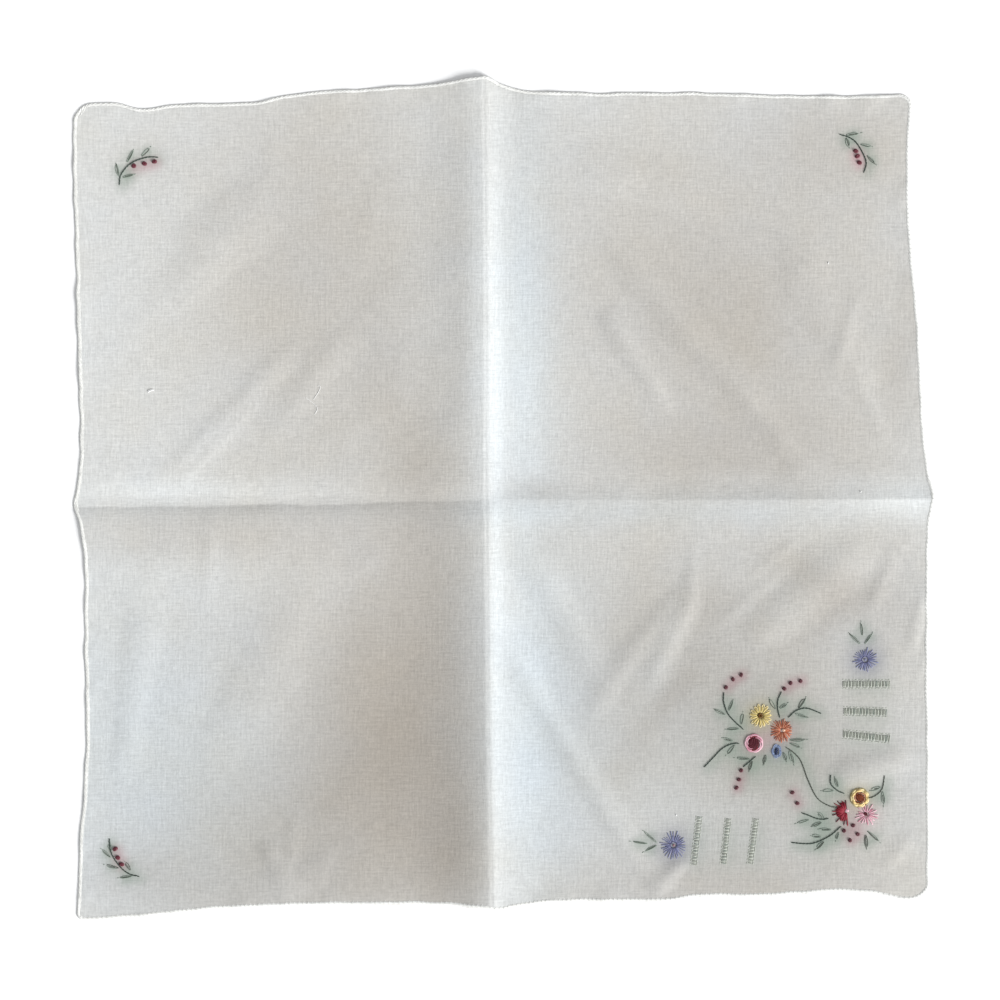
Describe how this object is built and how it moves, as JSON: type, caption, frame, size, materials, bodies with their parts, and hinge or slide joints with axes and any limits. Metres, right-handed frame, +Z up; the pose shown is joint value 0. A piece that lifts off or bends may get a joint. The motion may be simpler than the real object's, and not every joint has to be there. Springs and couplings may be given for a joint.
{
  "type": "linen handkerchief",
  "caption": "Square sheer white linen handkerchief, opened flat with its pressed fold creases, with a rolled hem, a corner flower spray in coloured threads and small berry twigs.",
  "frame": {"origin": "middle of the bounding box, on the surface that the cloth lies on", "axes": "+X to the right and +Y to the top edge as the cloth is looked at from above, +Z up; the flower spray is in the +X, -Y corner"},
  "size_m": [0.3114, 0.3054, 0.0044],
  "materials": {
    "white_linen": "sheer plain weave, matt, softly pressed",
    "embroidery_thread": "stranded cotton, softly lustrous, in greens, reds, pinks, yellows and blues"
  },
  "bodies": {
    "root": {"handkerchief": "white_linen"}
  },
  "joints": []
}
